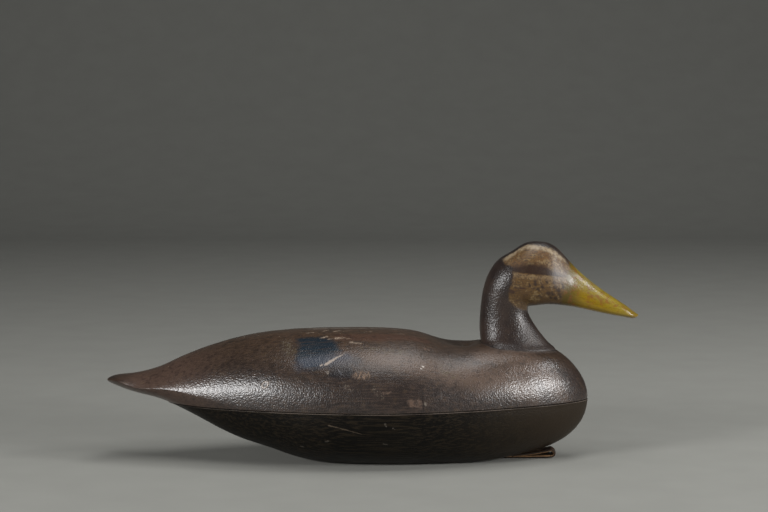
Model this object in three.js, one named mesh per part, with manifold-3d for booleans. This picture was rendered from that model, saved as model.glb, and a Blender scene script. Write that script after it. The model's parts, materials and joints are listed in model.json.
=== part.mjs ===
import * as THREE from "three";
import { mergeVertices } from "three/addons/utils/BufferGeometryUtils.js";
import Module from "manifold-3d";

// A carved wooden decoy of a black duck, in millimetres. +X points to the bill and +Z points up.
// The origin is under the middle of the duck, on the surface that it stands on.

// Driving dimensions: the three ends of the carving on the middle plane [x, z], and its width and heights
const TAIL_TIP = [-226, 66.5];
const BREAST = [183, 51];
const BILL_TIP = [225.5, 121.4];
const HALF_BEAM = 77.5;
const BACK_HEIGHT = 110.3;
const CROWN_HEIGHT = 184.4;

// The seam between the two halves of the body: a plane that rises slightly towards the breast
const SEAM_HEIGHT = 49.2;
const SEAM_RISE = 0.0068;
const JOINT_GAP = 0.3;

// The planed bottom is level between two stations, and rises as a rocker towards both ends
const LEVEL_REAR_X = -15;
const LEVEL_FRONT_X = 50;
const ROCKER_REAR = { reach: 64, rise: 6.5 };
const ROCKER_FRONT = { reach: 69, rise: 3.6 };

// The shallow trough across the back behind the neck
const TROUGH = { x: 79, depth: 4.8, rearReach: 16, frontReach: 7, sideReach: 13 };

// The leather line tie under the breast: a strap folded forwards on itself, with a narrow eye at the fold.
// Its lower run lies on the floor as far as its rest, and from there it lifts to the fold.
const STRAP_WIDTH = 16;
const STRAP_THICKNESS = 2.4;
const STRAP_MIDDLE_Y = -2;
const STRAP_REAR_X = 112;
const STRAP_REST_X = 128;
const STRAP_LAP = { x: 119, height: 3.2 };
const STRAP_FOLD = { x: 155.8, radius: 4.4, low: 0.6, top: 8.3 };
const STRAP_SLACK = { x: 139, height: 5.2 };
const EYE_REAR = { x: 132, height: 2.65 };

// The foot of the neck is fitted over the crown of the back: its sides hang lower by the drop at the given
// distance from the middle, all the way up to one height, and less and less up to a second one
const SADDLE = { drop: 2.4, reach: 26.5, fullUpTo: 98, goneAt: 112 };

// How finely the curved pieces are divided
const BODY_DIVISIONS = { along: 60, around: 40 };
const HEAD_DIVISIONS = { along: 46, around: 28 };
const ROCKER_DIVISIONS = 10;
const STRAP_DIVISIONS = 12;

// The edge of a block that takes away everything on one side of a plane, a length below which two corners
// count as one, and how long the handles of a curve are that draws a quarter of an ellipse
const BLOCK = 800;
const SAME_PLACE = 1e-4;
const QUARTER_HANDLE = 0.5523;

// The lines of the body, as a boat builder gives them, from the tail tip to the breast.
// A section has the place of its top and its low edge on the middle plane [x, z], its half-width,
// how far down from the top its widest line lies (0 to 1), and how full it is above and below
// that line, where 2 is an ellipse and more is squarer. A rim below 1 makes the widest line crisp.
const BODY_LINES = [
  { top: TAIL_TIP, low: TAIL_TIP, half: 0, widest: 0.5, full: [2, 2], rim: 0.6 },
  { top: [-221, 69.6], low: [-221, 63.2], half: 12.5, widest: 0.3, full: [2, 2], rim: 0.6 },
  { top: [-207, 71.8], low: [-207, 57.8], half: 19.5, widest: 0.52, full: [2, 2], rim: 0.58 },
  { top: [-182, 77.6], low: [-182, 51], half: 26.2, widest: 0.57, full: [2, 2], rim: 0.62 },
  { top: [-166, 84.9], low: [-166, 44.4], half: 31.4, widest: 0.58, full: [2, 2], rim: 0.7 },
  { top: [-147, 92.7], low: [-147, 34.9], half: 38.5, widest: 0.595, full: [2, 2], rim: 0.82 },
  { top: [-113, 102.9], low: [-113, 18.2], half: 51.5, widest: 0.586, full: [2.1, 2.1], rim: 0.95 },
  { top: [-84, 107.7], low: [-84, 8.9], half: 61.5, widest: 0.566, full: [2.15, 2.15] },
  { top: [-64, 109.3], low: [-64, 2], half: 67, widest: 0.545, full: [2.15, 2.2] },
  { top: [-28, BACK_HEIGHT], low: [-28, -4], half: 74.5, widest: 0.524, full: [2.15, 2.2] },
  { top: [20, 109.3], low: [20, -5], half: HALF_BEAM, widest: 0.515, full: [2.15, 2.2] },
  { top: [39, 106.6], low: [39, -5], half: 75.4, widest: 0.505, full: [2.15, 2.2] },
  { top: [57, 101.1], low: [57, -4.6], half: 71.5, widest: 0.48, full: [2.2, 2.2] },
  { top: [92, 99.9], low: [92, -3.8], half: 61.5, widest: 0.475, full: [2.2, 2.2] },
  { top: [125, 100], low: [125, 2.9], half: 48, widest: 0.5, full: [2.15, 2.1] },
  { top: [150, 95], low: [150, 10], half: 35.5, widest: 0.515, full: [2.05, 2] },
  { top: [168, 82.6], low: [168, 20.2], half: 22.5, widest: 0.51, full: [2, 2] },
  { top: [178.5, 68.6], low: [178.5, 33], half: 11.5, widest: 0.5, full: [2, 2] },
  { top: BREAST, low: BREAST, half: 0, widest: 0.5, full: [2, 2] },
];

// The lines of the neck, head and bill, in the same terms, from the foot of the neck to the tip of the
// bill. The sections fan round the throat: their top edge runs up the nape, over the crown and down the
// bill, and their low edge runs up the front of the neck, round the throat and along the chin.
// The first two belong to the foot, which is let into the back.
const HEAD_LINES = [
  { top: [92.6, 94.6], low: [154, 88.6], half: 26.5, widest: 0.3, full: [2.3, 1.9] },
  { top: [92, 99.6], low: [155.3, 92.8], half: 26.5, widest: 0.3, full: [2.3, 1.9] },
  { top: [91.6, 102], low: [151.3, 96.8], half: 22.9, widest: 0.34, full: [2.25, 1.95] },
  { top: [91.3, 104.8], low: [147.2, 100.9], half: 20.7, widest: 0.38, full: [2.2, 2] },
  { top: [90.9, 111.5], low: [140.6, 109.2], half: 18.7, widest: 0.44, full: [2.1, 2.1] },
  { top: [91.5, 128], low: [132.9, 121.6], half: 17.6, widest: 0.5, full: [2.1, 2.1] },
  { top: [96.6, 153.3], low: [131.7, 127.4], half: 19.8, widest: 0.46, full: [2.1, 2.1] },
  { top: [108, 170.2], low: [132.4, 129.4], half: 22, widest: 0.5, full: [2.1, 2.1] },
  { top: [118, 176.3], low: [135.2, 129.9], half: 22.6, widest: 0.53, full: [2.1, 2.15] },
  { top: [128.6, 182.8], low: [139.5, 130.3], half: 22.4, widest: 0.57, full: [2.1, 2.2] },
  { top: [141, CROWN_HEIGHT], low: [147, 131], half: 21.4, widest: 0.6, full: [2.1, 2.2] },
  { top: [149.6, 182.9], low: [152.6, 131], half: 19.8, widest: 0.61, full: [2.1, 2.2] },
  { top: [157.6, 177.6], low: [158.4, 130.6], half: 17, widest: 0.62, full: [2.1, 2.2] },
  { top: [168.6, 165.7], low: [167.6, 129.4], half: 13.4, widest: 0.66, full: [2, 2.2] },
  { top: [184.5, 151.1], low: [182.5, 126.4], half: 11.4, widest: 0.72, full: [1.9, 2.3] },
  { top: [203, 137.7], low: [200.5, 122.6], half: 11.2, widest: 0.7, full: [1.9, 2.3] },
  { top: [217.5, 128], low: [215.5, 119.9], half: 10.4, widest: 0.6, full: [2, 2.2] },
  { top: [223.4, 123.6], low: [222, 119.3], half: 6.6, widest: 0.5, full: [2, 2] },
  { top: BILL_TIP, low: BILL_TIP, half: 0, widest: 0.5, full: [2, 2] },
];

// How far above its seat the cutter for the foot of the neck reaches, as a share of the foot's depth
const FOOT_CUTTER_REACH = 3;

const wasm = await Module();
wasm.setup();

// One section as a plain list of numbers, so that every column can be faired in the same way.
function columnsOf({ top, low, half, widest, full, rim = 1 }) {
  return [...top, ...low, half, widest, ...full, rim];
}

// The section on the far side of a closed end: its edges change places, and its half-width turns
// negative. Fairing on through it brings the end out round.
function mirrored([topX, topZ, lowX, lowZ, half, widest, above, below, rim]) {
  return [lowX, lowZ, topX, topZ, -half, 1 - widest, below, above, rim];
}

// The distance between two sections, by their edges and their half-width.
function sectionDistance(a, b) {
  const placed = 5;
  return Math.hypot(...a.slice(0, placed).map((value, i) => value - b[i]));
}

// The second derivatives of the natural cubic spline through one column, by forward elimination.
function bendsOf(knots, values) {
  const last = knots.length - 1;
  const bends = new Array(last + 1).fill(0);
  const factors = new Array(last + 1).fill(0);
  for (let i = 1; i < last; i++) {
    const before = knots[i] - knots[i - 1];
    const after = knots[i + 1] - knots[i];
    const turn = (values[i + 1] - values[i]) / after - (values[i] - values[i - 1]) / before;
    const pivot = 2 * (before + after) - before * factors[i - 1];
    factors[i] = after / pivot;
    bends[i] = (6 * turn - before * bends[i - 1]) / pivot;
  }
  for (let i = last - 1; i > 0; i--) bends[i] -= factors[i] * bends[i + 1];
  return bends;
}

// A function that gives the faired section at any distance along the carving, and where its ends are.
function fairLines(lines, roundStart) {
  const given = lines.map(columnsOf);
  const beyondStart = roundStart ? [mirrored(given[2]), mirrored(given[1])] : [];
  const beyondEnd = [mirrored(given.at(-2)), mirrored(given.at(-3))];
  const rows = [...beyondStart, ...given, ...beyondEnd];
  const knots = [0];
  for (let i = 1; i < rows.length; i++) knots.push(knots[i - 1] + sectionDistance(rows[i], rows[i - 1]));
  const columns = rows[0].map((_, c) => rows.map((row) => row[c]));
  const bends = columns.map((values) => bendsOf(knots, values));
  const sectionAt = (distance) => {
    const i = knots.findIndex((knot) => knot > distance) - 1;
    const width = knots[i + 1] - knots[i];
    const b = (distance - knots[i]) / width;
    const a = 1 - b;
    return columns.map((values, c) => {
      const straight = a * values[i] + b * values[i + 1];
      const curve = (a ** 3 - a) * bends[c][i] + (b ** 3 - b) * bends[c][i + 1];
      return straight + (curve * width ** 2) / 6;
    });
  };
  const from = knots[beyondStart.length];
  const to = knots[beyondStart.length + given.length - 1];
  return { sectionAt, from, to };
}

// The points round a section, from its top edge down one side and up the other. The rounded quarter above
// the widest line runs from the top edge to that line, and the quarter below it runs on to the low edge.
function ringOf([topX, topZ, lowX, lowZ, half, widest, above, below, rim], around) {
  const ring = [];
  for (let j = 0; j < around; j++) {
    const angle = (2 * Math.PI * j) / around;
    const down = Math.cos(angle);
    const out = Math.sin(angle);
    const fullness = down >= 0 ? above : below;
    const side = Math.sign(out) * Math.abs(out) ** (2 / fullness);
    const reach = Math.abs(down) ** (2 / (fullness * rim));
    const drop = down >= 0 ? widest * (1 - reach) : widest + (1 - widest) * reach;
    ring.push([topX + (lowX - topX) * drop, side * half, topZ + (lowZ - topZ) * drop]);
  }
  return ring;
}

function middleOf([topX, topZ, lowX, lowZ]) {
  return [(topX + lowX) / 2, 0, (topZ + lowZ) / 2];
}

function geometryOf(positions, index) {
  const geometry = new THREE.BufferGeometry();
  geometry.setAttribute("position", new THREE.BufferAttribute(new Float32Array(positions), 3));
  geometry.setIndex(index);
  geometry.computeVertexNormals();
  return geometry;
}

// A closed skin over rings of points, with one point that closes each end.
function skinOver(rings, startPoint, endPoint) {
  const around = rings[0].length;
  const lastRing = (rings.length - 1) * around;
  const startPole = rings.length * around;
  const index = [];
  for (let j = 0; j < around; j++) {
    const next = (j + 1) % around;
    index.push(startPole, j, next);
    for (let here = 0; here < lastRing; here += around) {
      const beyond = here + around;
      index.push(here + j, beyond + next, here + next);
      index.push(here + j, beyond + j, beyond + next);
    }
    index.push(startPole + 1, lastRing + next, lastRing + j);
  }
  return geometryOf([...rings.flat(), startPoint, endPoint].flat(), index);
}

// A carving through the faired sections, from a round or flat start to its round end.
function carve(lines, { along, around }, roundStart, shape = (point) => point) {
  const { sectionAt, from, to } = fairLines(lines, roundStart);
  const rings = [];
  for (let i = roundStart ? 1 : 0; i < along; i++) {
    rings.push(ringOf(sectionAt(from + ((to - from) * i) / along), around).map(shape));
  }
  return skinOver(rings, middleOf(sectionAt(from)), middleOf(sectionAt(to)));
}

function solidOf(geometry) {
  const bare = geometry.clone();
  bare.deleteAttribute("normal");
  bare.deleteAttribute("uv");
  const merged = mergeVertices(bare, SAME_PLACE);
  return new wasm.Manifold(
    new wasm.Mesh({
      numProp: 3,
      vertProperties: merged.attributes.position.array,
      triVerts: new Uint32Array(merged.index.array),
    }),
  );
}

function geometryFrom(solid) {
  const mesh = solid.getMesh();
  return geometryOf(mesh.vertProperties, [...mesh.triVerts]);
}

// A block that fills one side of the seam: 1 is above it and -1 is below. Half of the gap stays free.
function blockAtSeam(side) {
  const block = new THREE.BoxGeometry(BLOCK, BLOCK, BLOCK);
  block.translate(0, 0, (side * (BLOCK + JOINT_GAP)) / 2);
  block.rotateY(-Math.atan(SEAM_RISE));
  block.translate(0, 0, SEAM_HEIGHT);
  return solidOf(block);
}

// The height of the planed bottom: level in the middle, and rising with the square of the way past it.
function planedHeight(x) {
  const rear = Math.max(0, (LEVEL_REAR_X - x) / ROCKER_REAR.reach);
  const front = Math.max(0, (x - LEVEL_FRONT_X) / ROCKER_FRONT.reach);
  return ROCKER_REAR.rise * rear ** 2 + ROCKER_FRONT.rise * front ** 2;
}

// Everything below the planed bottom, as one block with the rocker as its upper side.
function planedAway() {
  const rearX = LEVEL_REAR_X - 2 * ROCKER_REAR.reach;
  const frontX = LEVEL_FRONT_X + 2 * ROCKER_FRONT.reach;
  const outline = new THREE.Shape();
  outline.moveTo(rearX, -BLOCK);
  outline.lineTo(frontX, -BLOCK);
  for (let i = 0; i <= ROCKER_DIVISIONS; i++) {
    const x = THREE.MathUtils.lerp(frontX, LEVEL_FRONT_X, i / ROCKER_DIVISIONS);
    outline.lineTo(x, planedHeight(x));
  }
  for (let i = 0; i <= ROCKER_DIVISIONS; i++) {
    const x = THREE.MathUtils.lerp(LEVEL_REAR_X, rearX, i / ROCKER_DIVISIONS);
    outline.lineTo(x, planedHeight(x));
  }
  const block = new THREE.ExtrudeGeometry(outline, { depth: BLOCK, bevelEnabled: false });
  block.translate(0, 0, -BLOCK / 2);
  block.rotateX(Math.PI / 2);
  return solidOf(block);
}

// The trough behind the neck: a soft hollow, longer towards the tail than towards the neck.
function withTrough([x, y, z]) {
  if (z < SEAM_HEIGHT) return [x, y, z];
  const reach = x < TROUGH.x ? TROUGH.rearReach : TROUGH.frontReach;
  const fall = Math.exp(-(((x - TROUGH.x) / reach) ** 2) - (y / TROUGH.sideReach) ** 2);
  return [x, y, z - TROUGH.depth * fall];
}

// The sides of the neck's foot hang lower than its middle, over the crown of the back.
function withSaddle([x, y, z]) {
  const hanging = 1 - THREE.MathUtils.smoothstep(z, SADDLE.fullUpTo, SADDLE.goneAt);
  return [x, y, z - SADDLE.drop * hanging * (y / SADDLE.reach) ** 2];
}

// The foot of the neck with the gap of its joint on every side, carried up through the back.
function neckSeatCutter() {
  const [foot, seat] = HEAD_LINES.slice(0, 2).map(columnsOf);
  const grown = [-JOINT_GAP, 0, JOINT_GAP, 0, JOINT_GAP, 0, 0, 0, 0];
  const below = -JOINT_GAP / (seat[1] - foot[1]);
  const sections = [below, FOOT_CUTTER_REACH].map((share) =>
    foot.map((value, c) => THREE.MathUtils.lerp(value, seat[c], share) + grown[c]),
  );
  const rings = sections.map((section) => ringOf(section, HEAD_DIVISIONS.around).map(withSaddle));
  return solidOf(skinOver(rings, middleOf(sections[0]), middleOf(sections[1])));
}

// The whole body, cut apart at the seam. The upper half has the tail, and a flat seat let in for the neck.
function bodyHalves() {
  const body = solidOf(carve(BODY_LINES, BODY_DIVISIONS, true, withTrough));
  return {
    upper: body.intersect(blockAtSeam(1)).subtract(neckSeatCutter()),
    lower: body.intersect(blockAtSeam(-1)).subtract(planedAway()),
  };
}

// The strap from its lower run round the fold to the end of its upper run, drawn inside its outer face by
// the inset: two quarters of an ellipse for the fold, then a slack curve back along the bottom of the body.
function followStrap(path, inset, end) {
  const middleX = STRAP_FOLD.x - STRAP_FOLD.radius;
  const middleZ = (STRAP_FOLD.low + STRAP_FOLD.top) / 2;
  const tipX = STRAP_FOLD.x - inset;
  const lowZ = STRAP_FOLD.low + inset;
  const topZ = STRAP_FOLD.top - inset;
  const handleX = middleX + QUARTER_HANDLE * (tipX - middleX);
  const handleZ = QUARTER_HANDLE * (topZ - middleZ);
  path.lineTo(middleX, lowZ);
  path.bezierCurveTo(handleX, lowZ, tipX, middleZ - handleZ, tipX, middleZ);
  path.bezierCurveTo(tipX, middleZ + handleZ, handleX, topZ, middleX, topZ);
  path.quadraticCurveTo(STRAP_SLACK.x, STRAP_SLACK.height - inset, end.x, end.height);
}

// An outline seen from the side, as a solid of the given width on both sides of the strap's middle.
function acrossStrap(outline, width) {
  const solid = new THREE.ExtrudeGeometry(outline, {
    depth: width,
    bevelEnabled: false,
    curveSegments: STRAP_DIVISIONS,
  });
  solid.translate(0, 0, -width / 2 - STRAP_MIDDLE_Y);
  solid.rotateX(Math.PI / 2);
  return solidOf(solid);
}

// The folded strap: its two runs meet behind, where they are tacked, and the open eye passes through it.
function lineTie() {
  const outline = new THREE.Shape();
  outline.moveTo(STRAP_REAR_X, 0);
  outline.lineTo(STRAP_REST_X, 0);
  followStrap(outline, 0, STRAP_LAP);
  outline.lineTo(STRAP_LAP.x, STRAP_THICKNESS);
  outline.lineTo(STRAP_REAR_X, STRAP_THICKNESS);
  const eye = new THREE.Shape();
  eye.moveTo(EYE_REAR.x, STRAP_THICKNESS);
  followStrap(eye, STRAP_THICKNESS, EYE_REAR);
  return acrossStrap(outline, STRAP_WIDTH).subtract(acrossStrap(eye, 2 * STRAP_WIDTH));
}

// Finishes: old oil paint on wood, and dry strap leather
const bodyPaint = new THREE.MeshStandardMaterial({ color: 0x2a201c, roughness: 0.45, metalness: 0 });
const lowerPaint = new THREE.MeshStandardMaterial({ color: 0x1c1814, roughness: 0.5, metalness: 0 });
const headPaint = new THREE.MeshStandardMaterial({ color: 0x8a7055, roughness: 0.5, metalness: 0 });
const leather = new THREE.MeshStandardMaterial({ color: 0x6b4a2c, roughness: 0.8, metalness: 0 });

function piece(name, geometry, material) {
  const mesh = new THREE.Mesh(geometry, material);
  mesh.name = name;
  return mesh;
}

const halves = bodyHalves();
const decoy = new THREE.Group();
decoy.add(piece("body_upper", geometryFrom(halves.upper), bodyPaint));
decoy.add(piece("body_lower", geometryFrom(halves.lower), lowerPaint));
decoy.add(piece("head", carve(HEAD_LINES, HEAD_DIVISIONS, false, withSaddle), headPaint));
decoy.add(piece("line_tie", geometryFrom(lineTie()), leather));

export default decoy;
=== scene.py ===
# %% [markdown]
# # A carved and painted black duck decoy
# A working decoy is a hollow wooden float. Its body is two halves of soft wood, closed along a seam, and its
# head and neck are one block that is let into the back. This lesson loads the measured solids of such a decoy
# as a fixed frame, and then makes its fine surfaces and its old paint round them. All sizes are in
# millimetres until a mesh is written, because that is how a carver measures.

# %% Load the measured solids
import json

from types import SimpleNamespace

import bmesh
import bpy
import numpy as np
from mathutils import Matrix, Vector

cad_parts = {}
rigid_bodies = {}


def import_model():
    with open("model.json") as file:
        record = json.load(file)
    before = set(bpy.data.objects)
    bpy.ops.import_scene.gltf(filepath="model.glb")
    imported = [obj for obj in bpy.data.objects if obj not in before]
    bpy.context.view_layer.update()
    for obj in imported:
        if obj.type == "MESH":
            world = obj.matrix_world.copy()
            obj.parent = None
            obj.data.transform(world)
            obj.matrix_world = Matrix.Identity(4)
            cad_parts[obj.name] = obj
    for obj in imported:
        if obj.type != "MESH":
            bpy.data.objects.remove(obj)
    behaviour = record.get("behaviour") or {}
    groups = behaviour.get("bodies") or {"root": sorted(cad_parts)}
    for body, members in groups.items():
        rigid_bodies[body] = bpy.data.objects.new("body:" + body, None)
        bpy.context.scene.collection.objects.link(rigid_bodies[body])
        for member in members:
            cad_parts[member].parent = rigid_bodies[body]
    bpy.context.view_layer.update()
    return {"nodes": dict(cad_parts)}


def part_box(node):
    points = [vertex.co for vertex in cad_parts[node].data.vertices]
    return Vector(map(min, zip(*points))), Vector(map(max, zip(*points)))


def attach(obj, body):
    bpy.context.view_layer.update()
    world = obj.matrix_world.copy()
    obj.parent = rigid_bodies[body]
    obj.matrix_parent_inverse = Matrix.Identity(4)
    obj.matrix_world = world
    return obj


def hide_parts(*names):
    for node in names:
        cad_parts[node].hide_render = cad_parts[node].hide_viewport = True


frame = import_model()
MM = 0.001
print("solids:", sorted(frame["nodes"]))

# %% [markdown]
# ## Camera
# A long lens far away keeps the sides of the decoy nearly parallel, as in a catalogue picture. The place of
# the camera was worked out from the outline, from how far the seam dips in the middle, and from where the
# decoy stands on the floor: 1.8 m in front of it, 34 cm high, and tipped down by 5.3 degrees.

# %% Camera
CAMERA_PLACE = (0.0096, -1.8, 0.339)
CAMERA_DIP = np.radians(5.3)
LENS = 100
SENSOR = 36

camera_data = bpy.data.cameras.new("camera")
camera_data.lens = LENS
camera_data.sensor_width = SENSOR
camera = bpy.data.objects.new("camera", camera_data)
camera.location = CAMERA_PLACE
camera.rotation_euler = (np.pi / 2 - CAMERA_DIP, 0, 0)
bpy.context.collection.objects.link(camera)
bpy.context.scene.camera = camera
print("camera at", CAMERA_PLACE, "m, lens", LENS, "mm")

# %% [markdown]
# ## One function for nodes, and one for colours
# A material is a small machine of nodes. Every node here is added by the same function, which sets the node's
# own settings and then fills each socket with a number or with a wire from another node. Paint colours are
# written as a painter's chart would give them, in sRGB hex, and one function turns them into linear light.


# %% Helpers for materials
def linear(colour):
    """Linear light from sRGB hex: below 0.04045 the value is divided by 12.92, and above it
    ((value + 0.055) / 1.055) is raised to the power 2.4."""
    values = np.array([int(colour[i : i + 2], 16) / 255 for i in (1, 3, 5)])
    light = np.where(values <= 0.04045, values / 12.92, ((values + 0.055) / 1.055) ** 2.4)
    return (*light, 1.0)


def add(tree, kind, inputs=(), out=0, **settings):
    """One new node with its settings. The inputs are a list in the order of its sockets, or are named, and
    each is a value or the socket that feeds it. The output with the given place or name comes back."""
    node = tree.nodes.new("ShaderNode" + kind)
    for name, value in settings.items():
        setattr(node, name, value)
    open_inputs = [socket for socket in node.inputs if socket.enabled]
    open_outputs = [socket for socket in node.outputs if socket.enabled]
    for key, value in inputs.items() if isinstance(inputs, dict) else enumerate(inputs):
        socket = node.inputs[key] if isinstance(key, str) else open_inputs[key]
        if isinstance(value, bpy.types.NodeSocket):
            tree.links.new(value, socket)
        else:
            socket.default_value = value
    return node.outputs[out] if isinstance(out, str) else open_outputs[out] if open_outputs else node


def begin(name, **surface):
    """A new material: its tree, its shader with the uniform values, and its place in millimetres."""
    material = bpy.data.materials.new(name)
    material.use_nodes = True
    tree = material.node_tree
    tree.nodes.clear()
    light = add(tree, "BsdfPrincipled", surface, out="BSDF")
    add(tree, "OutputMaterial", {"Surface": light})
    metres = add(tree, "TexCoord", out="Object")
    place = add(tree, "VectorMath", [metres, 1 / MM], operation="SCALE")
    return material, tree, light.node, place


def dress(tree, shader, colour, rough, height, depth):
    """Wires the colour and the roughness into the shader, and the height as a relief that rises by depth
    millimetres where the pattern goes from 0 to 1."""
    relief = add(tree, "Bump", {"Height": height, "Distance": depth * MM, "Strength": 1.0})
    for name, socket in {"Base Color": colour, "Roughness": rough, "Normal": relief}.items():
        tree.links.new(socket, shader.inputs[name])


print("white is", linear("#ffffff"))

# %% [markdown]
# ## Studio
# The floor is one sheet of pale paper that runs up behind the decoy in a soft bend, so that no line shows
# where it ends. The paper is matt, so it mirrors no lamp, and its tone is faintly cloudy. Four soft boxes
# make the lights that are seen in the old paint: one low at the left and one low at the right, whose
# reflections lie along the flank and on the breast, a small one high at the right, which shines on the bill,
# and a wide one overhead for the back.

# %% Floor and backdrop
SWEEP_WIDTH = 9.0
SWEEP_FRONT = -4.0
SWEEP_BACK = 2.2
SWEEP_BEND = 1.6
SWEEP_HEIGHT = 4.5
SWEEP_BEND_STEPS = 40
PAPER_CLOUD_MM = 50


def sweep_profile():
    """The side view of the paper: a flat run, a quarter of a circle, and a straight wall."""
    turn = np.linspace(0, np.pi / 2, SWEEP_BEND_STEPS)
    bend_y = SWEEP_BACK + SWEEP_BEND * np.sin(turn)
    bend_z = SWEEP_BEND * (1 - np.cos(turn))
    y = np.concatenate([[SWEEP_FRONT], bend_y, [SWEEP_BACK + SWEEP_BEND]])
    z = np.concatenate([[0], bend_z, [SWEEP_HEIGHT]])
    return y, z


profile_y, profile_z = sweep_profile()
sides = np.array([-SWEEP_WIDTH / 2, SWEEP_WIDTH / 2])
sweep_points = np.stack(
    [
        np.repeat(sides[None], len(profile_y), 0),
        np.repeat(profile_y[:, None], 2, 1),
        np.repeat(profile_z[:, None], 2, 1),
    ],
    axis=-1,
).reshape(-1, 3)
rows = np.arange(len(profile_y) - 1) * 2
sweep_faces = np.stack([rows, rows + 1, rows + 3, rows + 2], axis=-1)
sweep_mesh = bpy.data.meshes.new("paper_sweep")
sweep_mesh.from_pydata(sweep_points.tolist(), [], sweep_faces.tolist())
sweep_mesh.shade_smooth()
sweep = bpy.data.objects.new("paper_sweep", sweep_mesh)
bpy.context.collection.objects.link(sweep)

paper, tree, shader, place = begin("matte background paper", Roughness=0.9, IOR=1.45)
cloud = add(tree, "TexNoise", [place, 1 / PAPER_CLOUD_MM, 3.0])
tone = add(tree, "Mix", [cloud, linear("#95958f"), linear("#9e9e98")], data_type="RGBA")
tree.links.new(tone, shader.inputs["Base Color"])
sweep_mesh.materials.append(paper)
print("paper sweep:", len(sweep_faces), "faces")

# %% Soft boxes
SOFT_BOXES = {
    "left_box": {"place": (-1.48, -1.26, 0.58), "size": (0.56, 0.34), "watts": 26, "aim": (-0.05, 0, 0.06)},
    "right_box": {"place": (1.71, -0.83, 0.5), "size": (0.5, 0.32), "watts": 24, "aim": (0.1, 0, 0.06)},
    "bill_box": {"place": (1.55, -0.26, 1.28), "size": (0.36, 0.36), "watts": 7.5, "aim": (0.17, 0, 0.15)},
    "top_box": {"place": (0.2, -0.1, 2.1), "size": (2.1, 0.7), "watts": 17.5, "aim": (0, 0, 0.06)},
}
for name, box in SOFT_BOXES.items():
    light = bpy.data.lights.new(name, "AREA")
    light.shape = "RECTANGLE"
    light.size, light.size_y = box["size"]
    light.energy = box["watts"]
    lamp = bpy.data.objects.new(name, light)
    lamp.location = box["place"]
    lamp.rotation_euler = (Vector(box["aim"]) - lamp.location).to_track_quat("-Z", "Y").to_euler()
    bpy.context.collection.objects.link(lamp)

WORLD_STRENGTH = 0.12
world = bpy.data.worlds.new("dim_studio")
world.use_nodes = True
background = world.node_tree.nodes["Background"]
background.inputs["Color"].default_value = linear("#8f9194")
background.inputs["Strength"].default_value = WORLD_STRENGTH
bpy.context.scene.world = world
bpy.context.scene.view_settings.view_transform = "Standard"
print("soft boxes:", ", ".join(SOFT_BOXES))

# %% [markdown]
# ## The lines of the carving
# A boat builder fairs a hull from a few sections, and a decoy is a small hull. Each row is one section: where
# its top and low edges lie on the middle plane, its half-width, how far down its widest line is, how full it
# is above and below that line, and how round its rim is, where less than 1 is crisp, as on the paddle of the
# tail. A smooth curve through each column gives every section between the rows.

# %% Sections of the body and of the head
# x, top z, low z, half-width, widest line, fullness above and below, rim
BODY_ROWS = np.array(
    [
        (-226, 66.5, 66.5, 0, 0.5, 2, 2, 0.6),
        (-221, 69.6, 63.2, 12.5, 0.3, 2, 2, 0.6),
        (-207, 71.8, 57.8, 19.5, 0.52, 2, 2, 0.58),
        (-182, 77.6, 51, 26.2, 0.57, 2, 2, 0.62),
        (-166, 84.9, 44.4, 31.4, 0.58, 2, 2, 0.7),
        (-147, 92.7, 34.9, 38.5, 0.595, 2, 2, 0.82),
        (-113, 102.9, 18.2, 51.5, 0.586, 2.1, 2.1, 0.95),
        (-84, 107.7, 8.9, 61.5, 0.566, 2.15, 2.15, 1),
        (-64, 109.3, 2, 67, 0.545, 2.15, 2.2, 1),
        (-28, 110.3, -4, 74.5, 0.524, 2.15, 2.2, 1),
        (20, 109.3, -5, 77.5, 0.515, 2.15, 2.2, 1),
        (39, 106.6, -5, 75.4, 0.505, 2.15, 2.2, 1),
        (57, 101.1, -4.6, 71.5, 0.48, 2.2, 2.2, 1),
        (92, 99.9, -3.8, 61.5, 0.475, 2.2, 2.2, 1),
        (125, 100, 2.9, 48, 0.5, 2.15, 2.1, 1),
        (150, 95, 10, 35.5, 0.515, 2.05, 2, 1),
        (168, 82.6, 20.2, 22.5, 0.51, 2, 2, 1),
        (178.5, 68.6, 33, 11.5, 0.5, 2, 2, 1),
        (183, 51, 51, 0, 0.5, 2, 2, 1),
    ]
)
# These sections stand upright, so the x of their low edge is that of their top edge
BODY_LINES = np.insert(BODY_ROWS, 2, BODY_ROWS[:, 0], axis=1)

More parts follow.
